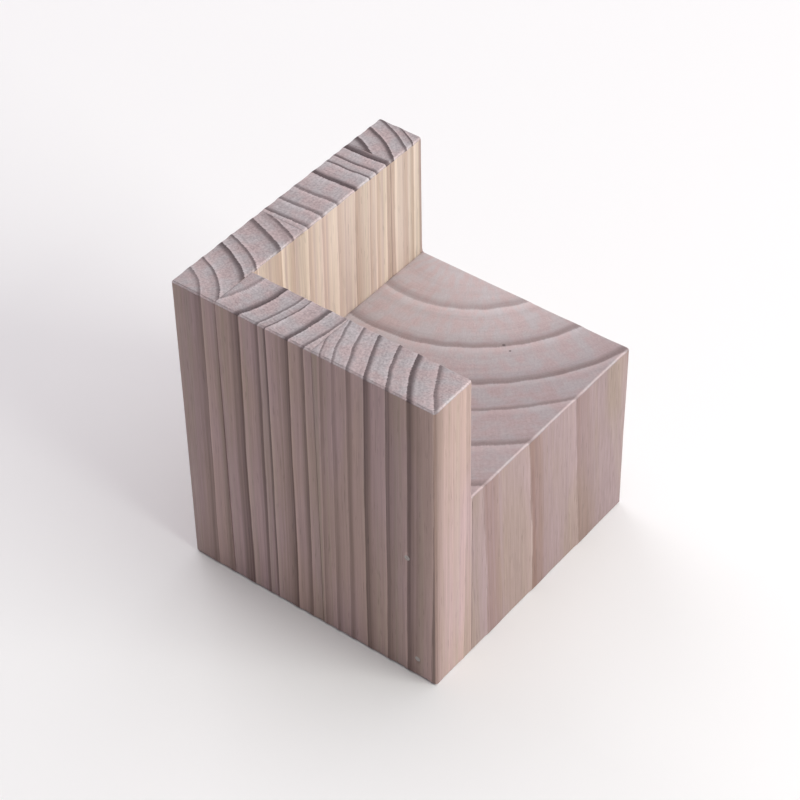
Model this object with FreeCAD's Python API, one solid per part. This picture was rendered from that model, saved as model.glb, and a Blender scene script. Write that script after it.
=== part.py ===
import FreeCAD, Part
import os

# A bed riser in pine. A furniture leg stands on the end grain of a solid seat block, and a raised guard
# along two neighbouring sides keeps the leg from walking off it. Each guard is a board glued up from
# upright staves. The side guard runs through to the outer corner, and the front guard butts against it.
# Both are glued to the block and pinned near their free ends with brads.
#
# Frame: millimetres, +Z up, origin on the floor at the middle of the footprint. X runs along the front
# guard, Y along the side guard, and the outer corner of the guards points to -X and -Y.

# Footprint and heights
LENGTH_X = 100.0
LENGTH_Y = 103.0
SEAT_HEIGHT = 69.0
GUARD_RISE = 47.0

# Guard boards
SIDE_GUARD_THICKNESS = 17.5
FRONT_GUARD_THICKNESS = 18.5

# Stave widths along each board, from the outer corner. The middle stave of the side guard and the right
# stave of the front guard are as wide as what is left.
SIDE_FRONT_STAVE_WIDTH = 42.5
SIDE_REAR_STAVE_WIDTH = 17.0
FRONT_LEFT_STAVE_WIDTH = 37.0

# Every outer edge is sanded to this radius after gluing up.
EASED_EDGE_RADIUS = 1.0

# Brads, driven flush through each guard into the block
BRAD_SHANK_DIAMETER = 1.2
BRAD_HEAD_DIAMETER = 2.0
BRAD_HEAD_LENGTH = 1.2
BRAD_POINT_LENGTH = 2.0
BRAD_BITE = 12.5
LOWER_BRAD_HEIGHT = 8.0
LOWER_BRAD_INSET = 7.5
UPPER_BRAD_BELOW_SEAT = 18.0
UPPER_BRAD_INSET = 11.0

# Distance below which two planes count as the same one
SAME_PLANE = 1e-6

# Planes that the pieces share
LEFT = -LENGTH_X / 2
RIGHT = LENGTH_X / 2
FRONT = -LENGTH_Y / 2
BACK = LENGTH_Y / 2
TOP = SEAT_HEIGHT + GUARD_RISE
SIDE_GUARD_INNER = LEFT + SIDE_GUARD_THICKNESS
FRONT_GUARD_INNER = FRONT + FRONT_GUARD_THICKNESS
SIDE_FRONT_JOINT = FRONT + SIDE_FRONT_STAVE_WIDTH
SIDE_REAR_JOINT = BACK - SIDE_REAR_STAVE_WIDTH
FRONT_JOINT = SIDE_GUARD_INNER + FRONT_LEFT_STAVE_WIDTH

ALONG_X = FreeCAD.Vector(1, 0, 0)
ALONG_Y = FreeCAD.Vector(0, 1, 0)


def timber(x_span, y_span, z_span):
    """A squared piece of timber between two planes each way."""
    corner = FreeCAD.Vector(x_span[0], y_span[0], z_span[0])
    return Part.makeBox(x_span[1] - x_span[0], y_span[1] - y_span[0], z_span[1] - z_span[0], corner)


def is_reentrant(edge):
    """True for an edge inside the recess, where two of its three walls meet."""
    middle = edge.CenterOfMass
    offsets = (middle.x - SIDE_GUARD_INNER, middle.y - FRONT_GUARD_INNER, middle.z - SEAT_HEIGHT)
    return sum(abs(offset) < SAME_PLANE for offset in offsets) == 2


def glued_up_riser():
    """The whole riser with its recess cut and its outer edges eased, before it is parted at its joints."""
    blank = timber((LEFT, RIGHT), (FRONT, BACK), (0, TOP))
    recess = timber((SIDE_GUARD_INNER, RIGHT), (FRONT_GUARD_INNER, BACK), (SEAT_HEIGHT, TOP))
    riser = blank.cut(recess)
    outer_edges = [edge for edge in riser.Edges if not is_reentrant(edge)]
    return riser.makeFillet(EASED_EDGE_RADIUS, outer_edges)


def brad(head, direction, guard_thickness):
    """One brad with its head flush at the point head, driven along direction through the guard."""
    shank_length = guard_thickness + BRAD_BITE - BRAD_HEAD_LENGTH - BRAD_POINT_LENGTH
    shank_start = head + direction * BRAD_HEAD_LENGTH
    point_start = shank_start + direction * shank_length
    cap = Part.makeCylinder(BRAD_HEAD_DIAMETER / 2, BRAD_HEAD_LENGTH, head, direction)
    shank = Part.makeCylinder(BRAD_SHANK_DIAMETER / 2, shank_length, shank_start, direction)
    point = Part.makeCone(BRAD_SHANK_DIAMETER / 2, 0, BRAD_POINT_LENGTH, point_start, direction)
    return cap.fuse([shank, point]).removeSplitter()


def brads():
    """A lower and an upper brad near the free end of each guard."""
    upper_height = SEAT_HEIGHT - UPPER_BRAD_BELOW_SEAT
    driven = []
    for height, inset in ((LOWER_BRAD_HEIGHT, LOWER_BRAD_INSET), (upper_height, UPPER_BRAD_INSET)):
        front_head = FreeCAD.Vector(RIGHT - inset, FRONT, height)
        side_head = FreeCAD.Vector(LEFT, BACK - inset, height)
        driven.append(brad(front_head, ALONG_Y, FRONT_GUARD_THICKNESS))
        driven.append(brad(side_head, ALONG_X, SIDE_GUARD_THICKNESS))
    return driven


def timber_pieces(brad_solids):
    """The riser parted at its glue lines, each piece with the holes that the brads leave in it."""
    riser = glued_up_riser()
    side_board = (LEFT, SIDE_GUARD_INNER)
    front_board = (FRONT, FRONT_GUARD_INNER)
    full_height = (0, TOP)
    blanks = {
        "seat_block": timber((SIDE_GUARD_INNER, RIGHT), (FRONT_GUARD_INNER, BACK), (0, SEAT_HEIGHT)),
        "side_guard_front_stave": timber(side_board, (FRONT, SIDE_FRONT_JOINT), full_height),
        "side_guard_middle_stave": timber(side_board, (SIDE_FRONT_JOINT, SIDE_REAR_JOINT), full_height),
        "side_guard_rear_stave": timber(side_board, (SIDE_REAR_JOINT, BACK), full_height),
        "front_guard_left_stave": timber((SIDE_GUARD_INNER, FRONT_JOINT), front_board, full_height),
        "front_guard_right_stave": timber((FRONT_JOINT, RIGHT), front_board, full_height),
    }
    return {name: riser.common(blank).cut(brad_solids) for name, blank in blanks.items()}


def main():
    os.makedirs("parts", exist_ok=True)
    brad_solids = brads()
    nodes = timber_pieces(brad_solids)
    nodes["brads"] = Part.makeCompound(brad_solids)
    for name, shape in nodes.items():
        shape.exportStep(f"parts/{name}.step")
        print(f"{name}: {len(shape.Solids)} solid(s), {shape.Volume:.1f} mm3, valid {shape.isValid()}")


main()
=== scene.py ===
import math
from bisect import bisect_right

import bmesh
import bpy
from bpy.props import FloatProperty, FloatVectorProperty, PointerProperty
from mathutils import Matrix, Vector, kdtree, noise


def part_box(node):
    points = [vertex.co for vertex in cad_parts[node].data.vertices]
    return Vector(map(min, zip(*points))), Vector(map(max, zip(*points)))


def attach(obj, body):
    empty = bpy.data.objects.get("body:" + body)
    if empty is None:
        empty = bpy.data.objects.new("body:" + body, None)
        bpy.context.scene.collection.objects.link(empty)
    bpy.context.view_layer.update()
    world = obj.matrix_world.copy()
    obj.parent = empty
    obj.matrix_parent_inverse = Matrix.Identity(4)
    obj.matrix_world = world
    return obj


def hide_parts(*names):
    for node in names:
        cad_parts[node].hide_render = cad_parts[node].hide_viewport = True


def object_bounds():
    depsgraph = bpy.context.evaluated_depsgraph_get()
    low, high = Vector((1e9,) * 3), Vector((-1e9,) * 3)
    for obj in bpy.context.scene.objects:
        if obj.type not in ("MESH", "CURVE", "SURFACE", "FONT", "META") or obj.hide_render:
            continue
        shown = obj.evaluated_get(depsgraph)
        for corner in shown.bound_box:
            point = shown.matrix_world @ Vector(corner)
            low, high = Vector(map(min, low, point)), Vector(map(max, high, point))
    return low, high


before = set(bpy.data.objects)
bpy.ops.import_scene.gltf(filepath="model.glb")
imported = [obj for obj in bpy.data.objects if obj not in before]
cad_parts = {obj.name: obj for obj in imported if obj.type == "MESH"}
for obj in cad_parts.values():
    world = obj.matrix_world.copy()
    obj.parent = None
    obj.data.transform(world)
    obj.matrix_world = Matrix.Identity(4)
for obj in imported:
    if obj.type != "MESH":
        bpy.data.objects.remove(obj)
CAD_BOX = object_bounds()

bl_info = {
    "name": "Pine bed riser",
    "version": (1, 0, 0),
    "blender": (4, 5, 0),
    "location": "View3D > Sidebar > Riser",
    "description": "Cuts the timber of a bed riser from its logs, finishes it and sets it on a studio floor",
    "category": "Object",
}

MM = 0.001
BODY = "root"

SEAT_BLOCK = ("seat_block",)
SIDE_GUARD = ("side_guard_front_stave", "side_guard_middle_stave", "side_guard_rear_stave")
FRONT_GUARD = ("front_guard_left_stave", "front_guard_right_stave")
TIMBER = SEAT_BLOCK + SIDE_GUARD + FRONT_GUARD
BRADS = "brads"

# How each piece lay in its log. The pith is the middle of the rings, seen from above. Each ring is the
# radius of a dark latewood line, in millimetres, and how strongly that line shows. Lean is how far the pith
# wanders over the height of the piece, and tone makes one piece a little darker or paler than the next.
LOGS = {
    "seat_block": {
        "pith": (-26.5, 70.5),
        "rings": (
            (14.0, 0.5), (39.6, 0.75), (58.5, 0.95), (76.1, 1.0),
            (88.3, 0.85), (104.0, 0.9), (121.5, 0.9), (138.0, 0.8),
        ),
        "lean": (2.5, -1.5),
        "tone": 0.0,
    },
    "side_guard_front_stave": {
        "pith": (-60.0, -68.0),
        "rings": (
            (18.0, 0.6), (26.5, 0.8), (32.2, 0.85), (40.6, 1.25),
            (45.2, 1.1), (54.9, 1.0), (60.4, 1.1), (66.0, 0.7),
        ),
        "lean": (0.8, 0.5),
        "tone": 0.2,
    },
    "side_guard_middle_stave": {
        "pith": (-45.0, 162.0),
        "rings": (
            (123.0, 1.0), (131.5, 1.35), (136.7, 1.15), (140.1, 1.2),
            (147.8, 1.35), (156.7, 0.9), (164.2, 1.0), (171.2, 1.0),
        ),
        "lean": (0.0, 1.2),
        "tone": -0.15,
    },
    "side_guard_rear_stave": {
        "pith": (-64.0, 1.0),
        "rings": ((34.0, 1.0), (41.6, 1.2), (47.6, 1.25), (52.9, 1.1), (55.4, 1.1), (62.0, 1.0)),
        "lean": (0.6, -0.6),
        "tone": 0.1,
    },
    "front_guard_left_stave": {
        "pith": (-60.0, -33.1),
        "rings": (
            (20.0, 0.5), (31.4, 0.6), (40.4, 1.15), (46.9, 0.85),
            (49.7, 0.85), (57.8, 1.2), (63.5, 0.95), (68.0, 0.7),
        ),
        "lean": (1.0, 0.4),
        "tone": 0.1,
    },
    "front_guard_right_stave": {
        "pith": (99.1, -8.6),
        "rings": (
            (48.0, 0.1), (57.0, 0.1), (66.5, 0.8), (74.4, 1.25), (80.8, 1.05),
            (87.9, 1.05), (93.5, 0.95), (98.4, 0.9), (102.4, 0.85), (107.0, 0.7),
        ),
        "lean": (0.9, 0.6),
        "tone": -0.1,
    },
}

# Mesh work: lengths in metres, angles in radians and slopes as parts of a normal
WELD = 1e-6
PROBE = 1.0 * MM
FLAT_ANGLE = math.radians(1.0)
SHARP_ANGLE = math.radians(42.0)
END_GRAIN_SLOPE = 0.3
EDGE_MARGIN = 1.2 * MM
BORE_MARGIN = 2.0 * MM
# Faces that lie this far inside the riser's upright outer faces get painted bounce light
PAINTED_BOUNCE_INSET = 2.0 * MM
PAST_THE_PART = 1.0

# Sums of normals shorter than this belong to vertices that don't show
LEAST_NORMAL = 0.5

# Where an edge begins to count as sanded over and where it fully does, as the slant of its normal from an
# axis, and the size of one patch of unevenness on it, in metres. The finishes lighten these edges: partly
# sanding wear, partly a painted highlight
EDGE_SLANT = (0.02, 0.2)
SANDING_CELL = 6.0 * MM

# The rise of each ring from soft earlywood to hard latewood, as parts of the ring's width, and the fall
# behind it, in metres and as the most that it may take of a ring
RIDGE_START = 0.5
RIDGE_FULL = 0.88
RIDGE_FALL = 1.3 * MM
RIDGE_FALL_LIMIT = 0.45

# Two specks of pitch on the seat: place and size, in millimetres, the part of that size that is the dark
# core, and how well the core covers the wood
PITCH_SPECKS = (((17.0, 28.4, 69.0), 0.75), ((20.2, 27.4, 69.0), 0.55))
PITCH_CORE = 0.4
PITCH_STRENGTH = 0.7
PITCH_COLOUR = (0.06, 0.04, 0.04, 1.0)

# How the earlywood and latewood of the inner faces between the guards differ from the rest, in red, green and
# blue: a paler, warmer copy that is painted bounce light. The cream gain also serves the faint bands of the
# grain
BAND_AND_BOUNCE_CREAM_GAIN = (1.52, 1.77, 1.56)
PAINTED_BOUNCE_TAN_GAIN = (2.75, 3.04, 2.64)

# How much fainter the stripes of the inner faces between the guards are, how far the painted bounce light on
# those faces and the faint bands of the grain turn the earlywood to cream, and how much less those faces
# drift in hue
PAINTED_BOUNCE_CALM = 0.3
PAINTED_BOUNCE_WARMTH = 0.72
BAND_WARMTH = 0.45
PAINTED_BOUNCE_STEADY = 0.7

# How the planed faces drift in hue, in red, green and blue
UMBER_GAIN = (1.01, 0.99, 0.94)
MAUVE_GAIN = (1.0, 0.975, 1.04)

# The dark line of a ring: where it begins and is full, in shares of latewood before the ring's end, where
# it breaks off, as a part of the ring, and where the pale start of the next ring fades out. That pale start
# is partly paler earlywood and partly a painted highlight where the latewood ridge catches light
LINE_START = 2.0
LINE_FULL = 0.7
LINE_BREAK = 0.965
PALE_START_AND_HIGHLIGHT_SPAN = (0.02, 0.2)

# The planed faces: share of latewood in a ring, how late its dusk sets in, and the strength of the dark
# lines, of the dusk, of the faint bands and of the fraying of the lines
SIDE_LOOK = {
    "latewood": 0.25,
    "onset": 1.8,
    "line": 0.36,
    "dusk": 0.44,
    "band": 0.32,
    "fray": 0.12,
}

# The sawn ends: the same, and the strength of open cells, of rays and of the painted light and shade that
# changes from the pith outwards
GUARD_END_LOOK = {
    "latewood": 0.14,
    "onset": 1.8,
    "line": 0.5,
    "dusk": 0.27,
    "band": 0.09,
    "cell": 1.2,
    "ray": 0.3,
    "fray": 0.07,
    "seat_shading": 0.0,
}
BLOCK_END_LOOK = {
    "latewood": 0.11,
    "onset": 4.5,
    "line": 0.42,
    "dusk": 0.34,
    "band": 0.09,
    "cell": 0.4,
    "ray": 0.16,
    "fray": 0.025,
    "seat_shading": 1.0,
}

# How the earlywood of the sawn ends drifts in hue, in red, green and blue
ROSY_GAIN = (1.05, 0.98, 0.97)
ASHEN_GAIN = (0.96, 1.02, 1.03)

# Painted light and shade on the sawn ends, from the pith outwards: paler near the pith, where bounce light is
# painted at the back of the seat, and darker far out, where shade is painted toward its front right. Radii in
# metres, and gains in red, green and blue
SEAT_SHADE_SPAN = (30.0 * MM, 84.0 * MM)
SEAT_BOUNCE_LIGHT_GAIN = (1.2, 1.25, 1.26)
SEAT_SHADE_GAIN = (0.88, 0.89, 0.91)

# How much the open cells fray the lines of the sawn ends, as a part of what the rays do
CELL_FRAY = 0.6

# What lightens the planed faces and the sawn ends, or with a minus sign darkens them, and how much
SIDE_SHADE = {
    "fibre": 0.7,
    "drift": 0.22,
    "tint": 0.1,
    "tone": -0.12,
    "canal": -0.16,
    # The glow weight is partly paler earlywood, partly a painted highlight of the lit ridge
    "pale_start_and_highlight": 0.12,
    # The edge weight is partly sanding wear, partly a painted highlight
    "edge": 0.32,
    "seam": -0.16,
}
# The edge weight of the sawn ends is partly sanding wear, partly a painted highlight
END_SHADE = {"mottle": 0.22, "tone": -0.1, "pale_start_and_highlight": 0.14, "edge": 0.34, "seam": -0.25}

# The short wobble of a ring as a part of its slow wander, and cells of both for each metre along X, Y, Z
RING_WOBBLE = 0.5
DRIFT_CELLS = Vector((26.3, 26.3, 11.8))
WOBBLE_CELLS = Vector((200.0, 200.0, 16.7))

# Cells of noise for each metre out from the pith, round the ring and along the grain
BROAD_BAND_CELLS = (420.0, 12.0, 3.0)
NARROW_BAND_CELLS = (1100.0, 25.0, 5.0)
COARSE_FIBRE_CELLS = (1500.0, 1500.0, 22.0)
FINE_FIBRE_CELLS = (4200.0, 4200.0, 70.0)
CANAL_CELLS = (2300.0, 2300.0, 150.0)
HUE_CELLS = (70.0, 70.0, 14.0)
PORE_CELLS = (1400.0, 1400.0, 200.0)
RAY_CELLS = (130.0, 2600.0, 100.0)
MOTTLE_CELLS = (160.0, 160.0, 60.0)

# Cells of noise for each metre along X, Y and Z
SCRATCH_CELLS = (900.0, 900.0, 6000.0)
CLOUD_CELLS = (3.0, 3.0, 3.0)

# The part of each noise that is spread over the full range of what it drives
BAND_SPAN = (0.3, 0.7)
CANAL_SPAN = (0.7, 0.76)
HUE_SPAN = (0.36, 0.64)
MOTTLE_SPAN = (0.35, 0.65)
TEXTURE_SPAN = (0.3, 0.7)

# Each surface: its roughness where its noise is low and where it is high, the strength of its fine bump and
# the depth of that bump in metres, and its specular level
PLANED = {"roughness": (0.62, 0.5), "bump": (0.35, 0.12 * MM), "specular": 0.32}
SAWN = {"roughness": (0.78, 0.66), "bump": (0.5, 0.14 * MM), "specular": 0.25}
WIRE = {"roughness": (0.5, 0.35), "bump": (0.3, 0.05 * MM), "specular": 0.5, "metallic": 0.85}
CANAL_DEPTH = 0.5
RAY_HEIGHT = 0.5
DULL_STEEL = (0.30, 0.27, 0.26, 1.0)
BRIGHT_STEEL = (0.42, 0.385, 0.37, 1.0)

# Finishes that the staves of both guards share
GUARD_SIDE = "Guard side grain"
GUARD_END = "Guard end grain"

# The floor: half its width, in metres, the darker part of its faint cloud, and its surface
FLOOR_REACH = 1.5
CLOUD_GAIN = (0.985, 0.985, 0.985)
FLOOR_ROUGHNESS = 0.9
FLOOR_SPECULAR = 0.1

# The softboxes: place, aim, and width and height, in metres
KEY_BOX = ((1.3, 0.15, 0.7), (0.0, 0.0, 0.06), (1.0, 0.9))
TOP_BOX = ((0.2, 0.5, 1.7), (0.0, 0.0, 0.06), (2.6, 2.6))
FILL_BOX = ((-1.3, 0.5, 1.1), (-0.3, 0.0, 0.0), (1.2, 1.2))

# Width of the camera's sensor, in millimetres
SENSOR_WIDTH = 36.0


class RiserTimberSettings(bpy.types.PropertyGroup):
    """Grain, relief and colours of the pine."""

    grid_pitch: FloatProperty(
        name="Grid pitch",
        description="Spacing of the mesh across the grain",
        default=0.6 * MM,
        unit="LENGTH",
    )
    height_pitch: FloatProperty(
        name="Height pitch",
        description="Spacing of the mesh along the grain",
        default=4.0 * MM,
        unit="LENGTH",
    )
    ridge_depth: FloatProperty(
        name="Ridge depth",
        description="How far the soft earlywood lies below the hard latewood on the planed faces",
        default=0.2 * MM,
        unit="LENGTH",
    )
    end_ridge_share: FloatProperty(
        name="End grain relief",
        description="Share of the ridge depth that the sawn end grain shows",
        default=0.45,
        subtype="FACTOR",
    )
    edge_ridge_gain: FloatProperty(
        name="Edge relief gain",
        description="How much deeper the relief is where an edge was sanded over",
        default=0.7,
    )
    ring_wander: FloatProperty(
        name="Ring wander",
        description="How far a ring strays from a true circle",
        default=0.7 * MM,
        unit="LENGTH",
    )
    seam_width: FloatProperty(
        name="Seam width",
        description="Half the width of the fine groove at a glue line",
        default=0.18 * MM,
        unit="LENGTH",
    )
    seam_depth: FloatProperty(
        name="Seam depth",
        description="Depth of the fine groove at a glue line",
        default=0.06 * MM,
        unit="LENGTH",
    )
    sanding_wobble: FloatProperty(
        name="Sanding wobble",
        description="Unevenness of the hand-sanded edges",
        default=0.12 * MM,
        unit="LENGTH",
    )
    guard_early: FloatVectorProperty(
        name="Guard earlywood",
        description="Pale part of each ring on the faces of the guards",
        default=(0.45, 0.325, 0.306),
        size=3,
        subtype="COLOR",
    )
    guard_late: FloatVectorProperty(
        name="Guard latewood",
        description="Dark part of each ring on the faces of the guards",
        default=(0.165, 0.105, 0.095),
        size=3,
        subtype="COLOR",
    )
    guard_end_early: FloatVectorProperty(
        name="Guard end earlywood",
        description="Pale part of each ring on the sawn ends of the guards",
        default=(0.445, 0.38, 0.388),
        size=3,
        subtype="COLOR",
    )
    guard_end_late: FloatVectorProperty(
        name="Guard end latewood",
        description="Dark part of each ring on the sawn ends of the guards",
        default=(0.08, 0.056, 0.06),
        size=3,
        subtype="COLOR",
    )
    block_early: FloatVectorProperty(
        name="Block earlywood",
        description="Pale part of each ring on the sides of the block",
        default=(0.342, 0.254, 0.242),
        size=3,
        subtype="COLOR",
    )
    block_late: FloatVectorProperty(
        name="Block latewood",
        description="Dark part of each ring on the sides of the block",
        default=(0.25, 0.155, 0.13),
        size=3,
        subtype="COLOR",
    )
    block_end_early: FloatVectorProperty(
        name="Seat earlywood",
        description="Pale part of each ring on the seat",
        default=(0.44, 0.362, 0.364),
        size=3,
        subtype="COLOR",
    )
    block_end_late: FloatVectorProperty(
        name="Seat latewood",
        description="Dark part of each ring on the seat",
        default=(0.215, 0.155, 0.15),
        size=3,
        subtype="COLOR",
    )


class RiserStageSettings(bpy.types.PropertyGroup):
    """Floor, light and camera."""

    floor_colour: FloatVectorProperty(
        name="Floor colour",
        description="Colour of the studio floor",
        default=(0.93, 0.93, 0.93),
        size=3,
        subtype="COLOR",
    )
    sky_colour: FloatVectorProperty(
        name="Sky colour",
        description="Colour of the light from all round",
        default=(1.0, 0.92, 0.99),
        size=3,
        subtype="COLOR",
    )
    sky_strength: FloatProperty(
        name="Sky strength",
        description="Strength of the light from all round",
        default=0.152,
    )
    backdrop_colour: FloatVectorProperty(
        name="Backdrop colour",
        description="Colour of the studio behind the floor",
        default=(0.86, 0.86, 0.86),
        size=3,
        subtype="COLOR",
    )
    key_power: FloatProperty(
        name="Key power",
        description="Power of the softbox at the right",
        default=15.8,
        unit="POWER",
    )
    key_colour: FloatVectorProperty(
        name="Key colour",
        description="Colour of the softbox at the right",
        default=(0.97, 1.0, 0.94),
        size=3,
        subtype="COLOR",
    )
    top_power: FloatProperty(
        name="Top power",
        description="Power of the overhead softbox",
        default=25.0,
        unit="POWER",
    )
    top_colour: FloatVectorProperty(
        name="Top colour",
        description="Colour of the overhead softbox",
        default=(1.0, 0.965, 0.99),
        size=3,
        subtype="COLOR",
    )
    fill_power: FloatProperty(
        name="Fill power",
        description="Power of the softbox at the left, which lifts the shadow on the floor",
        default=9.5,
        unit="POWER",
    )
    fill_colour: FloatVectorProperty(
        name="Fill colour",
        description="Colour of the softbox at the left",
        default=(1.0, 0.97, 0.99),
        size=3,
        subtype="COLOR",
    )
    camera_place: FloatVectorProperty(
        name="Camera place",
        description="Where the camera stands",
        default=(0.3803, -0.4852, 0.6166),
        size=3,
        subtype="TRANSLATION",
        unit="LENGTH",
    )
    camera_aim: FloatVectorProperty(
        name="Camera aim",
        description="The point that the camera looks at",
        default=(-0.001, -0.0028, 0.0583),
        size=3,
        subtype="TRANSLATION",
        unit="LENGTH",
    )
    camera_roll: FloatProperty(
        name="Camera roll",
        description="Turn of the camera about its line of sight",
        default=math.radians(-1.11),
        subtype="ANGLE",
    )
    camera_lens: FloatProperty(
        name="Lens",
        description="Focal length of the camera, in millimetres",
        default=117.46,
    )


def smooth_rise(low, high, value):
    """0 below low, 1 above high, with an easy curve between them."""
    share = min(max((value - low) / (high - low), 0.0), 1.0)
    return share * share * (3.0 - 2.0 * share)


def ridge_height(ring, width):
    """Height of the surface across a ring of some width: 0 in the earlywood, 1 on the latewood ridge."""
    part = ring - math.floor(ring)
    rise = smooth_rise(RIDGE_START, RIDGE_FULL, part)
    fall = 1.0 - smooth_rise(0.0, min(RIDGE_FALL / width, RIDGE_FALL_LIMIT), part)
    return max(rise, fall)


def ring_number(radius, rings):
    """Rings inside this radius, with the part of the ring that it lies in. Whole numbers are dark lines."""
    outer = min(max(bisect_right(rings, radius), 1), len(rings) - 1)
    inner_radius = rings[outer - 1]
    return outer + (radius - inner_radius) / (rings[outer] - inner_radius)


class Log:
    """The growth rings round one piece, as a place in the log for any point of the piece."""

    def __init__(self, node, wander):
        cut = LOGS[node]
        low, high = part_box(node)
        self.pith = Vector(cut["pith"]) * MM
        self.lean = Vector(cut["lean"]) * MM / (high.z - low.z)
        self.rings = [radius * MM for radius, weight in cut["rings"]]
        self.weights = [weight for radius, weight in cut["rings"]]
        self.tone = cut["tone"]
        self.wander = wander
        self.seed = Vector((TIMBER.index(node) * 3.7, 1.3, 0.4))
        middle = (low + high) / 2
        self.middle_way = middle.xy - self.pith
        self.middle_radius = self.middle_way.length

    def line_weight(self, ring):
        """How strongly the dark line at the outer end of a ring shows."""
        return self.weights[min(max(math.floor(ring), 0), len(self.weights) - 1)]

    def ring_width(self, ring):
        """The width of the ring that a ring number lies in."""
        outer = min(max(math.floor(ring), 1), len(self.rings) - 1)
        return self.rings[outer] - self.rings[outer - 1]

    def place(self, point):
        """(ring number, radius, length round the ring) at a point."""
        out = point.xy - self.pith - self.lean * point.z
        drift = noise.noise(point * DRIFT_CELLS + self.seed)
        wobble = noise.noise(point * WOBBLE_CELLS + self.seed)
        radius = out.length + drift * self.wander + wobble * self.wander * RING_WOBBLE
        turn = self.middle_way.angle_signed(out)
        return ring_number(radius, self.rings), radius, turn * self.middle_radius


def is_inside(box, point):
    """Whether a point lies between the two corners of a box."""
    low, high = box
    return all(low[i] < point[i] < high[i] for i in range(3))


def room_inside_faces(box, depth):
    """The part of a box that lies deeper than some depth below its upright faces."""
    low, high = (Vector(corner) for corner in box)
    inset = Vector((depth, depth, -PAST_THE_PART))
    return low + inset, high - inset


def cut_places(node, axis, pitch, seam_width):
    """Where the mesh of a piece is cut across one axis: an even grid, the planes of its neighbours and both
    sides of every seam."""
    low, high = (corner[axis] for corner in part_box(node))
    planes = {low, high}
    for other in TIMBER:
        planes.update(corner[axis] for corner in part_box(other))
    places = []
    for plane in planes:
        places += [plane - seam_width, plane, plane + seam_width]
    steps = max(round((high - low - 2 * EDGE_MARGIN) / pitch), 1)
    stride = (high - low - 2 * EDGE_MARGIN) / steps
    places += [low + EDGE_MARGIN + stride * i for i in range(steps + 1)]
    return sorted(place for place in places if low + WELD < place < high - WELD)


def gridded_timber(node, settings):
    """A merged copy of a piece's solid, cut into a fine grid that can carry the relief of its grain."""
    bm = bmesh.new()
    bm.from_mesh(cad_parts[node].data)
    bmesh.ops.remove_doubles(bm, verts=bm.verts[:], dist=WELD)
    bmesh.ops.dissolve_limit(bm, angle_limit=FLAT_ANGLE, verts=bm.verts[:], edges=bm.edges[:])
    pitches = (settings.grid_pitch, settings.grid_pitch, settings.height_pitch)
    for axis, pitch in enumerate(pitches):
        way = Vector([float(i == axis) for i in range(3)])
        for place in cut_places(node, axis, pitch, settings.seam_width):
            everything = bm.verts[:] + bm.edges[:] + bm.faces[:]
            bmesh.ops.bisect_plane(bm, geom=everything, dist=WELD, plane_co=way * place, plane_no=way)
    bm.normal_update()
    return bm


def sort_faces(bm, node):
    """(faces that show, faces glued to a neighbour, walls of the brad holes) of a piece."""
    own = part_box(node)
    neighbours = [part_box(other) for other in TIMBER if other != node]
    shown, glued, bores = set(), set(), set()
    for face in bm.faces:
        probe = face.calc_center_median() + face.normal * PROBE
        if is_inside(own, probe):
            bores.add(face)
        elif any(is_inside(box, probe) for box in neighbours):
            glued.add(face)
        else:
            shown.add(face)
    return shown, glued, bores


def distance_to(faces):
    """A function that gives the distance from a point to the nearest corner of some faces."""
    corners = {vert for face in faces for vert in face.verts}
    tree = kdtree.KDTree(len(corners))
    for i, vert in enumerate(corners):
        tree.insert(vert.co, i)
    tree.balance()
    if not corners:
        return lambda point: math.inf
    return lambda point: tree.find(point)[2]


def sink_depth(vert, out, log, ring, seam, edge, settings):
    """How far a vertex sinks below the planed face: more in earlywood, at a seam and on a sanded edge."""
    side_share = 1.0 - abs(out.z) * (1.0 - settings.end_ridge_share)
    ridge = ridge_height(ring, log.ring_width(ring)) * min(log.line_weight(ring), 1.0)
    grain = settings.ridge_depth * side_share * (1.0 - ridge) * (1.0 + settings.edge_ridge_gain * edge)
    unevenness = 0.5 + 0.5 * noise.noise(vert.co / SANDING_CELL + log.seed)
    return grain + settings.seam_depth * seam + settings.sanding_wobble * edge * unevenness


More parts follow.
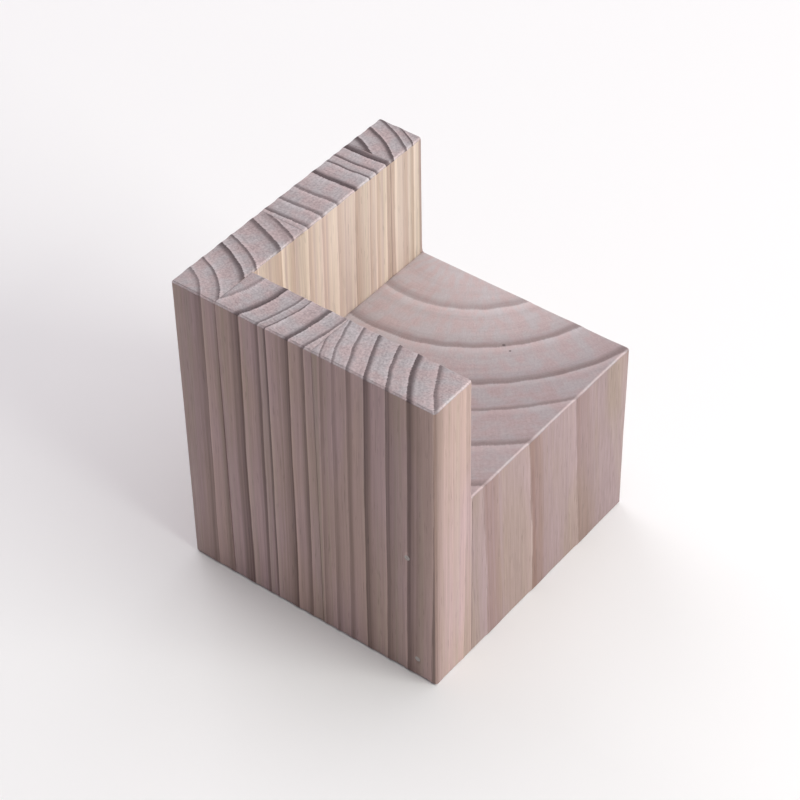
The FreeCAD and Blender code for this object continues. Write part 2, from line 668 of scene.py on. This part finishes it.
def work_surface(bm, node, settings):
    """Gives the faces that show the relief of the grain, and stores what the finish needs at each vertex:
    its ring and how strongly that ring's line shows, its place in the log, its tone, its seam, its sanded
    edge, which the finish also lightens as a painted highlight, and whether it lies between the guards, where
    the finish paints bounce light."""
    log = Log(node, settings.ring_wander)
    shown, glued, bores = sort_faces(bm, node)
    bore_distance = distance_to(bores)
    # Faces between the guards get painted bounce light in the side grain finish
    painted_bounce_room = room_inside_faces(CAD_BOX, PAINTED_BOUNCE_INSET)
    for face in bm.faces:
        face.smooth = True
        face.material_index = int(abs(face.normal.z) > END_GRAIN_SLOPE)
    ring_layer = bm.verts.layers.float.new("ring")
    log_layer = bm.verts.layers.float_vector.new("log_place")
    finish_layer = bm.verts.layers.float_vector.new("finish")
    weight_layer = bm.verts.layers.float.new("line_weight")
    painted_bounce_layer = bm.verts.layers.float.new("painted_bounce")
    moves = []
    for vert in bm.verts:
        ring, radius, round_ring = log.place(vert.co)
        vert[ring_layer] = ring
        vert[weight_layer] = log.line_weight(ring)
        vert[painted_bounce_layer] = float(is_inside(painted_bounce_room, vert.co))
        vert[log_layer] = (radius, round_ring + log.seed.x, vert.co.z)
        out = sum((face.normal for face in vert.link_faces if face in shown), Vector())
        if out.length < LEAST_NORMAL:
            vert[finish_layer] = (log.tone, 0.0, 0.0)
            continue
        out.normalize()
        edge = smooth_rise(*EDGE_SLANT, 1.0 - max(abs(part) for part in out))
        seam = float(any(face in glued for face in vert.link_faces))
        vert[finish_layer] = (log.tone, seam, edge)
        sink = sink_depth(vert, out, log, ring, seam, edge, settings)
        moves.append((vert, -out * sink * smooth_rise(0.0, BORE_MARGIN, bore_distance(vert.co))))
    for vert, move in moves:
        vert.co += move


def make_piece(name, bm):
    """A finished piece from its mesh, riding on the riser's one body."""
    mesh = bpy.data.meshes.new(name)
    bm.to_mesh(mesh)
    bm.free()
    mesh.set_sharp_from_angle(angle=SHARP_ANGLE)
    piece = bpy.data.objects.new(name, mesh)
    bpy.context.scene.collection.objects.link(piece)
    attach(piece, BODY)
    return piece


def make_timber(node, materials, settings):
    """Puts one piece of timber in place of its plain solid, with its side grain and end grain finishes."""
    bm = gridded_timber(node, settings)
    work_surface(bm, node, settings)
    piece = make_piece(f"{node}_pine", bm)
    for material in materials:
        piece.data.materials.append(material)
    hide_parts(node)


def add_node(tree, kind, inputs=None, **settings):
    """A node of a tree, with its settings, and its inputs given as values or as sockets to link."""
    made = tree.nodes.new(kind)
    for name, value in settings.items():
        setattr(made, name, value)
    for key, value in (inputs or {}).items():
        if isinstance(value, bpy.types.NodeSocket):
            tree.links.new(value, made.inputs[key])
        else:
            made.inputs[key].default_value = value
    return made


def calculate(tree, operation, *values):
    """The outcome of one sum on values or sockets."""
    made = add_node(tree, "ShaderNodeMath", dict(enumerate(values)), operation=operation)
    return made.outputs[0]


def weighted_sum(tree, start, terms):
    """A start value with every (value, weight) pair added to it."""
    total = start
    for value, weight in terms:
        total = calculate(tree, "MULTIPLY_ADD", value, weight, total)
    return total


def swing(tree, middle, terms):
    """A sum of (noise, weight) pairs that swings about a middle value. Each noise has a mean of one half."""
    start = middle - sum(weight for value, weight in terms) / 2
    return weighted_sum(tree, start, terms)


def stretch(tree, vector, scale):
    """A vector multiplied part by part."""
    made = add_node(tree, "ShaderNodeVectorMath", {0: vector, 1: scale}, operation="MULTIPLY")
    return made.outputs[0]


def ease(tree, value, low, high, start=0.0, end=1.0):
    """Start below low, end above high, with an easy curve between them."""
    inputs = {"Value": value, "From Min": low, "From Max": high, "To Min": start, "To Max": end}
    made = add_node(tree, "ShaderNodeMapRange", inputs, interpolation_type="SMOOTHSTEP")
    return made.outputs["Result"]


def speckle(tree, vector, cells, detail=2.0, roughness=0.5):
    """Noise over a vector, with so many cells for each metre of its three parts."""
    inputs = {"Vector": stretch(tree, vector, cells), "Scale": 1.0, "Detail": detail, "Roughness": roughness}
    return add_node(tree, "ShaderNodeTexNoise", inputs).outputs["Fac"]


def blend_colours(tree, share, first, second, blend="MIX"):
    """A first colour with a share of a second one mixed into it or multiplied on it."""
    inputs = {0: share, 6: first, 7: second}
    made = add_node(tree, "ShaderNodeMix", inputs, data_type="RGBA", blend_type=blend)
    return made.outputs[2]


def opaque(colour):
    """A colour in four parts."""
    return (*colour, 1.0)


def tinted(colour, gain):
    """A colour in four parts, multiplied part by part by a gain."""
    return opaque(part * share for part, share in zip(colour, gain))


def attribute(tree, name, output):
    """What the vertices hold under a name."""
    return add_node(tree, "ShaderNodeAttribute", attribute_name=name).outputs[output]


def split_attribute(tree, name):
    """The three parts of a vector that the vertices hold under a name."""
    made = add_node(tree, "ShaderNodeSeparateXYZ", {0: attribute(tree, name, "Vector")})
    return made.outputs[:]


def new_group(name, inputs, outputs):
    """An empty node group with named sockets, and its two end nodes."""
    group = bpy.data.node_groups.new(name, "ShaderNodeTree")
    for socket, kind in inputs:
        group.interface.new_socket(socket, in_out="INPUT", socket_type=kind)
    for socket in outputs:
        group.interface.new_socket(socket, in_out="OUTPUT", socket_type="NodeSocketFloat")
    entry = group.nodes.new("NodeGroupInput")
    leave = group.nodes.new("NodeGroupOutput")
    return group, entry.outputs, leave.inputs


def growth_rings(name):
    """Group: a ring number becomes its dark line, the dusk before it, the pale start after it, which is
    partly a painted highlight, and a tint.
    """
    inputs = [(socket, "NodeSocketFloat") for socket in ("Ring", "Weight", "Latewood", "Onset", "Fray")]
    group, entry, leave = new_group(name, inputs, ("Line", "Dusk", "Pale Start And Highlight", "Tint"))
    ring = calculate(group, "ADD", entry["Ring"], entry["Fray"])
    part = calculate(group, "FRACT", ring)
    whole = calculate(group, "FLOOR", ring)
    chance = add_node(group, "ShaderNodeTexWhiteNoise", {"W": whole}, noise_dimensions="1D").outputs["Value"]
    width = calculate(group, "MULTIPLY", entry["Latewood"], entry["Weight"])
    start = calculate(group, "MULTIPLY_ADD", width, -LINE_START, 1.0)
    full = calculate(group, "MULTIPLY_ADD", width, -LINE_FULL, 1.0)
    rise = ease(group, part, start, full)
    line = calculate(group, "MULTIPLY", rise, ease(group, part, LINE_BREAK, 1.0, 1.0, 0.0))
    dusk = calculate(group, "POWER", part, entry["Onset"])
    # The pale start after each line: partly paler earlywood, partly a painted highlight of the lit ridge
    pale_start_and_highlight = ease(group, part, *PALE_START_AND_HIGHLIGHT_SPAN, 1.0, 0.0)
    for socket, value in (("Line", line), ("Dusk", dusk), ("Pale Start And Highlight", pale_start_and_highlight)):
        group.links.new(calculate(group, "MULTIPLY", value, entry["Weight"]), leave[socket])
    group.links.new(chance, leave["Tint"])
    return group


def faint_rings(name):
    """Group: the faint bands that lie between the dark lines."""
    group, entry, leave = new_group(name, [("Log Place", "NodeSocketVector")], ("Band",))
    broad = speckle(group, entry["Log Place"], BROAD_BAND_CELLS, detail=1.0)
    narrow = speckle(group, entry["Log Place"], NARROW_BAND_CELLS, detail=1.0)
    band = weighted_sum(group, 0.0, [(broad, 0.5), (narrow, 0.5)])
    group.links.new(ease(group, band, *BAND_SPAN, -1.0, 1.0), leave["Band"])
    return group


def wood_fibres(name):
    """Group: fine fibres along the grain, short dark resin canals and a slow drift of colour."""
    group, entry, leave = new_group(name, [("Log Place", "NodeSocketVector")], ("Fibre", "Canal", "Drift"))
    coarse = speckle(group, entry["Log Place"], COARSE_FIBRE_CELLS, detail=3.0, roughness=0.6)
    fine = speckle(group, entry["Log Place"], FINE_FIBRE_CELLS)
    canal = speckle(group, entry["Log Place"], CANAL_CELLS, detail=0.0)
    group.links.new(weighted_sum(group, 0.0, [(coarse, 0.6), (fine, 0.4)]), leave["Fibre"])
    group.links.new(ease(group, canal, *CANAL_SPAN), leave["Canal"])
    group.links.new(speckle(group, entry["Log Place"], HUE_CELLS), leave["Drift"])
    return group


def sawn_ends(name):
    """Group: the open cells, the rays that run out from the pith and a slow mottle of the sawn end grain."""
    group, entry, leave = new_group(name, [("Log Place", "NodeSocketVector")], ("Cell", "Ray", "Mottle"))
    group.links.new(speckle(group, entry["Log Place"], PORE_CELLS, detail=3.0, roughness=0.7), leave["Cell"])
    group.links.new(speckle(group, entry["Log Place"], RAY_CELLS), leave["Ray"])
    group.links.new(speckle(group, entry["Log Place"], MOTTLE_CELLS, detail=3.0), leave["Mottle"])
    return group


def place_group(tree, name, make, inputs):
    """The outputs of a node group set in a tree. The group is made when its name is first asked for."""
    group = bpy.data.node_groups.get(name) or make(name)
    return add_node(tree, "ShaderNodeGroup", inputs, node_tree=group).outputs


def place_grain(tree, name, make):
    """The outputs of a node group that reads the place in the log."""
    return place_group(tree, name, make, {"Log Place": attribute(tree, "log_place", "Vector")})


def place_rings(tree, look, fray):
    """The growth rings at each point of a piece, in one look and with their lines frayed."""
    inputs = {
        "Ring": attribute(tree, "ring", "Fac"),
        "Weight": attribute(tree, "line_weight", "Fac"),
        "Latewood": look["latewood"],
        "Onset": look["onset"],
        "Fray": fray,
    }
    return place_group(tree, "Growth rings", growth_rings, inputs)


def new_material(name):
    """An empty material with its output, and a Principled shader that feeds it."""
    material = bpy.data.materials.new(name)
    material.use_nodes = True
    tree = material.node_tree
    tree.nodes.clear()
    shader = add_node(tree, "ShaderNodeBsdfPrincipled")
    add_node(tree, "ShaderNodeOutputMaterial", {"Surface": shader.outputs["BSDF"]})
    return material, tree, shader


def ring_darkness(tree, rings, band, look):
    """How dark each point is: its ring's line, the dusk before that line and the faint bands."""
    terms = [(rings["Line"], look["line"]), (rings["Dusk"], look["dusk"]), (band, look["band"])]
    return weighted_sum(tree, 0.0, terms)


def shaded(tree, colour, noises, marks):
    """A colour made lighter and darker by (value, weight) pairs: noises that swing about no change, and marks
    that are 0 wherever they are absent."""
    grey = weighted_sum(tree, swing(tree, 1.0, noises), marks)
    shade = add_node(tree, "ShaderNodeCombineXYZ", {0: grey, 1: grey, 2: grey}).outputs[0]
    return blend_colours(tree, 1.0, colour, shade, "MULTIPLY")


def dress(tree, shader, surface, colour, texture, height):
    """Gives a Principled shader its colour, its specular level, a fine bump and a roughness from a noise."""
    strength, depth = surface["bump"]
    bump = add_node(tree, "ShaderNodeBump", {"Strength": strength, "Distance": depth, "Height": height})
    tree.links.new(colour, shader.inputs["Base Color"])
    tree.links.new(ease(tree, texture, *TEXTURE_SPAN, *surface["roughness"]), shader.inputs["Roughness"])
    tree.links.new(bump.outputs["Normal"], shader.inputs["Normal"])
    shader.inputs["Specular IOR Level"].default_value = surface["specular"]


def side_grain(name, early, late):
    """Planed pine, seen along the grain: upright stripes of latewood with fine fibres and resin canals."""
    material, tree, shader = new_material(name)
    tone, seam, edge = split_attribute(tree, "finish")
    painted_bounce = attribute(tree, "painted_bounce", "Fac")
    fibres = place_grain(tree, "Wood fibres", wood_fibres)
    band = place_grain(tree, "Faint rings", faint_rings)["Band"]
    rings = place_rings(tree, SIDE_LOOK, swing(tree, 0.0, [(fibres["Fibre"], SIDE_LOOK["fray"])]))
    # Between the guards the side grain is painted as if lit by warm bounce light: calmer stripes, paler and
    # warmer earlywood and latewood, and a steadier hue
    stripe_share = weighted_sum(tree, 1.0, [(painted_bounce, -PAINTED_BOUNCE_CALM)])
    dark = calculate(tree, "MULTIPLY", ring_darkness(tree, rings, band, SIDE_LOOK), stripe_share)
    band_and_bounce_warmth = weighted_sum(tree, 0.0, [(painted_bounce, PAINTED_BOUNCE_WARMTH), (band, BAND_WARMTH)])
    pale = blend_colours(tree, band_and_bounce_warmth, opaque(early), tinted(early, BAND_AND_BOUNCE_CREAM_GAIN))
    deep = blend_colours(tree, painted_bounce, opaque(late), tinted(late, PAINTED_BOUNCE_TAN_GAIN))
    drift = ease(tree, fibres["Drift"], *HUE_SPAN)
    hue = blend_colours(tree, drift, opaque(UMBER_GAIN), opaque(MAUVE_GAIN))
    drift_share = weighted_sum(tree, 1.0, [(painted_bounce, -PAINTED_BOUNCE_STEADY)])
    colour = blend_colours(tree, drift_share, blend_colours(tree, dark, pale, deep), hue, "MULTIPLY")
    noises = [
        (fibres["Fibre"], SIDE_SHADE["fibre"]),
        (fibres["Drift"], SIDE_SHADE["drift"]),
        (rings["Tint"], SIDE_SHADE["tint"]),
    ]
    marks = [
        (tone, SIDE_SHADE["tone"]),
        (fibres["Canal"], SIDE_SHADE["canal"]),
        # Pale start after each line: partly earlywood, partly a painted highlight
        (rings["Pale Start And Highlight"], SIDE_SHADE["pale_start_and_highlight"]),
        # Sanded edges lightened: partly wear, partly a painted highlight
        (edge, SIDE_SHADE["edge"]),
        (seam, SIDE_SHADE["seam"]),
    ]
    height = weighted_sum(tree, fibres["Fibre"], [(fibres["Canal"], -CANAL_DEPTH)])
    dress(tree, shader, PLANED, shaded(tree, colour, noises, marks), fibres["Fibre"], height)
    return material


def end_grain(name, early, late, look):
    """Sawn pine, seen on its end: crisp dark rings on a paler, cooler ground of open cells and fine rays."""
    material, tree, shader = new_material(name)
    tone, seam, edge = split_attribute(tree, "finish")
    ends = place_grain(tree, "Sawn ends", sawn_ends)
    band = place_grain(tree, "Faint rings", faint_rings)["Band"]
    fray = swing(tree, 0.0, [(ends["Ray"], look["fray"]), (ends["Cell"], look["fray"] * CELL_FRAY)])
    rings = place_rings(tree, look, fray)
    mottle = ease(tree, ends["Mottle"], *MOTTLE_SPAN)
    pale = blend_colours(tree, mottle, tinted(early, ROSY_GAIN), tinted(early, ASHEN_GAIN))
    colour = blend_colours(tree, ring_darkness(tree, rings, band, look), pale, opaque(late))
    # Painted light and shade on the seat: paler towards its back, darker towards its front right
    colour = blend_colours(tree, look["seat_shading"], pitch_specks(tree, colour), seat_light_and_shade(tree), "MULTIPLY")
    noises = [
        (ends["Cell"], look["cell"]),
        (ends["Ray"], look["ray"]),
        (ends["Mottle"], END_SHADE["mottle"]),
    ]
    marks = [
        (tone, END_SHADE["tone"]),
        # Pale start after each line: partly earlywood, partly a painted highlight
        (rings["Pale Start And Highlight"], END_SHADE["pale_start_and_highlight"]),
        # Sanded edges lightened: partly wear, partly a painted highlight
        (edge, END_SHADE["edge"]),
        (seam, END_SHADE["seam"]),
    ]
    height = weighted_sum(tree, ends["Cell"], [(ends["Ray"], RAY_HEIGHT)])
    dress(tree, shader, SAWN, shaded(tree, colour, noises, marks), ends["Cell"], height)
    return material


def seat_light_and_shade(tree):
    """A gain for a colour: paler near the pith and darker far out, which paints bounce light at the back of
    the seat and shade toward its front right.
    """
    radius = split_attribute(tree, "log_place")[0]
    return blend_colours(tree, ease(tree, radius, *SEAT_SHADE_SPAN), opaque(SEAT_BOUNCE_LIGHT_GAIN), opaque(SEAT_SHADE_GAIN))


def pitch_specks(tree, colour):
    """A colour with the two tiny dark specks of pitch that the seat has."""
    place = add_node(tree, "ShaderNodeTexCoord").outputs["Object"]
    for speck, size in PITCH_SPECKS:
        inputs = {0: place, 1: tuple(part * MM for part in speck)}
        away = add_node(tree, "ShaderNodeVectorMath", inputs, operation="DISTANCE").outputs["Value"]
        share = ease(tree, away, size * PITCH_CORE * MM, size * MM, PITCH_STRENGTH, 0.0)
        colour = blend_colours(tree, share, colour, PITCH_COLOUR)
    return colour


def bright_wire():
    """Steel wire, a little dull, with fine scratches across the heads."""
    material, tree, shader = new_material("Bright wire")
    place = add_node(tree, "ShaderNodeTexCoord").outputs["Object"]
    scratch = speckle(tree, place, SCRATCH_CELLS, detail=3.0, roughness=0.6)
    colour = blend_colours(tree, ease(tree, scratch, *TEXTURE_SPAN), DULL_STEEL, BRIGHT_STEEL)
    dress(tree, shader, WIRE, colour, scratch, scratch)
    shader.inputs["Metallic"].default_value = WIRE["metallic"]
    return material


def floor_finish(colour):
    """A pale matt floor with the faintest cloud in it."""
    material, tree, shader = new_material("Studio floor")
    place = add_node(tree, "ShaderNodeTexCoord").outputs["Object"]
    cloud = speckle(tree, place, CLOUD_CELLS, detail=3.0)
    cloudy = blend_colours(tree, cloud, tinted(colour, CLOUD_GAIN), opaque(colour))
    tree.links.new(cloudy, shader.inputs["Base Color"])
    shader.inputs["Roughness"].default_value = FLOOR_ROUGHNESS
    shader.inputs["Specular IOR Level"].default_value = FLOOR_SPECULAR
    return material


def guard_finishes(settings):
    """Side grain and end grain of the guards, made once."""
    side = bpy.data.materials.get(GUARD_SIDE)
    end = bpy.data.materials.get(GUARD_END)
    if side is None:
        side = side_grain(GUARD_SIDE, settings.guard_early, settings.guard_late)
    if end is None:
        end = end_grain(GUARD_END, settings.guard_end_early, settings.guard_end_late, GUARD_END_LOOK)
    return side, end


class RISER_OT_seat_block(bpy.types.Operator):
    """Cut and finish the solid block whose end grain is the seat"""

    bl_idname = "riser.seat_block"
    bl_label = "Seat block"

    def execute(self, context):
        settings = context.scene.riser_timber
        side = side_grain("Block side grain", settings.block_early, settings.block_late)
        end = end_grain("Block end grain", settings.block_end_early, settings.block_end_late, BLOCK_END_LOOK)
        for node in SEAT_BLOCK:
            make_timber(node, (side, end), settings)
        return {"FINISHED"}


class RISER_OT_side_guard(bpy.types.Operator):
    """Cut and finish the three staves of the side guard"""

    bl_idname = "riser.side_guard"
    bl_label = "Side guard"

    def execute(self, context):
        settings = context.scene.riser_timber
        for node in SIDE_GUARD:
            make_timber(node, guard_finishes(settings), settings)
        return {"FINISHED"}


class RISER_OT_front_guard(bpy.types.Operator):
    """Cut and finish the two staves of the front guard"""

    bl_idname = "riser.front_guard"
    bl_label = "Front guard"

    def execute(self, context):
        settings = context.scene.riser_timber
        for node in FRONT_GUARD:
            make_timber(node, guard_finishes(settings), settings)
        return {"FINISHED"}


class RISER_OT_brads(bpy.types.Operator):
    """Finish the brads that pin the guards to the block"""

    bl_idname = "riser.brads"
    bl_label = "Brads"

    def execute(self, context):
        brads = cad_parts[BRADS]
        brads.data.materials.clear()
        brads.data.materials.append(bright_wire())
        return {"FINISHED"}


def add_softbox(name, place, aim, size, power, colour):
    """A lamp with a wide face that is turned to its aim."""
    light = bpy.data.lights.new(name, "AREA")
    light.shape = "RECTANGLE"
    light.size, light.size_y = size
    light.energy = power
    light.color = colour
    lamp = bpy.data.objects.new(name, light)
    lamp.location = place
    lamp.rotation_euler = (Vector(place) - Vector(aim)).to_track_quat("Z", "Y").to_euler()
    bpy.context.scene.collection.objects.link(lamp)


def add_floor(colour):
    """A wide flat floor that the riser stands on."""
    bm = bmesh.new()
    bmesh.ops.create_grid(bm, x_segments=1, y_segments=1, size=FLOOR_REACH)
    mesh = bpy.data.meshes.new("studio_floor")
    bm.to_mesh(mesh)
    bm.free()
    floor = bpy.data.objects.new("studio_floor", mesh)
    mesh.materials.append(floor_finish(colour))
    bpy.context.scene.collection.objects.link(floor)


def add_camera(stage):
    """A camera at the place, aim and roll of the stage settings."""
    data = bpy.data.cameras.new("camera")
    data.lens = stage.camera_lens
    data.sensor_width = SENSOR_WIDTH
    camera = bpy.data.objects.new("camera", data)
    back = Vector(stage.camera_place) - Vector(stage.camera_aim)
    turn = back.to_track_quat("Z", "Y").to_matrix().to_4x4()
    roll = Matrix.Rotation(stage.camera_roll, 4, "Z")
    camera.matrix_world = Matrix.Translation(stage.camera_place) @ turn @ roll
    bpy.context.scene.collection.objects.link(camera)
    bpy.context.scene.camera = camera


def add_sky(stage):
    """Soft light from all round, with a pale backdrop where the camera looks past the floor."""
    world = bpy.data.worlds.new("studio_sky")
    world.use_nodes = True
    tree = world.node_tree
    tree.nodes.clear()
    light_inputs = {"Color": opaque(stage.sky_colour), "Strength": stage.sky_strength}
    light = add_node(tree, "ShaderNodeBackground", light_inputs)
    backdrop = add_node(tree, "ShaderNodeBackground", {"Color": opaque(stage.backdrop_colour)})
    seen = add_node(tree, "ShaderNodeLightPath").outputs["Is Camera Ray"]
    both = add_node(tree, "ShaderNodeMixShader", {0: seen, 1: light.outputs[0], 2: backdrop.outputs[0]})
    add_node(tree, "ShaderNodeOutputWorld", {"Surface": both.outputs[0]})
    bpy.context.scene.world = world


class RISER_OT_stage(bpy.types.Operator):
    """Set the riser on a pale floor under soft studio light, with the camera"""

    bl_idname = "riser.stage"
    bl_label = "Stage"

    def execute(self, context):
        stage = context.scene.riser_stage
        add_floor(stage.floor_colour)
        add_sky(stage)
        add_softbox("key_softbox", *KEY_BOX, stage.key_power, stage.key_colour)
        add_softbox("top_softbox", *TOP_BOX, stage.top_power, stage.top_colour)
        add_softbox("fill_softbox", *FILL_BOX, stage.fill_power, stage.fill_colour)
        add_camera(stage)
        context.scene.view_settings.view_transform = "Standard"
        return {"FINISHED"}


class RISER_PT_panel(bpy.types.Panel):
    """Pieces of the riser, their settings and the stage"""

    bl_idname = "RISER_PT_panel"
    bl_label = "Pine bed riser"
    bl_space_type = "VIEW_3D"
    bl_region_type = "UI"
    bl_category = "Riser"

    def draw(self, context):
        layout = self.layout
        for operator in OPERATORS:
            layout.operator(operator.bl_idname)
        for settings in (context.scene.riser_timber, context.scene.riser_stage):
            for name in settings.__annotations__:
                layout.prop(settings, name)


OPERATORS = (
    RISER_OT_seat_block,
    RISER_OT_side_guard,
    RISER_OT_front_guard,
    RISER_OT_brads,
    RISER_OT_stage,
)
CLASSES = (RiserTimberSettings, RiserStageSettings, *OPERATORS, RISER_PT_panel)


def register():
    for cls in CLASSES:
        bpy.utils.register_class(cls)
    bpy.types.Scene.riser_timber = PointerProperty(type=RiserTimberSettings)
    bpy.types.Scene.riser_stage = PointerProperty(type=RiserStageSettings)


def unregister():
    del bpy.types.Scene.riser_stage
    del bpy.types.Scene.riser_timber
    for cls in reversed(CLASSES):
        bpy.utils.unregister_class(cls)


def main():
    register()
    bpy.ops.riser.seat_block()
    bpy.ops.riser.side_guard()
    bpy.ops.riser.front_guard()
    bpy.ops.riser.brads()
    bpy.ops.riser.stage()


if __name__ == "__main__":
    main()
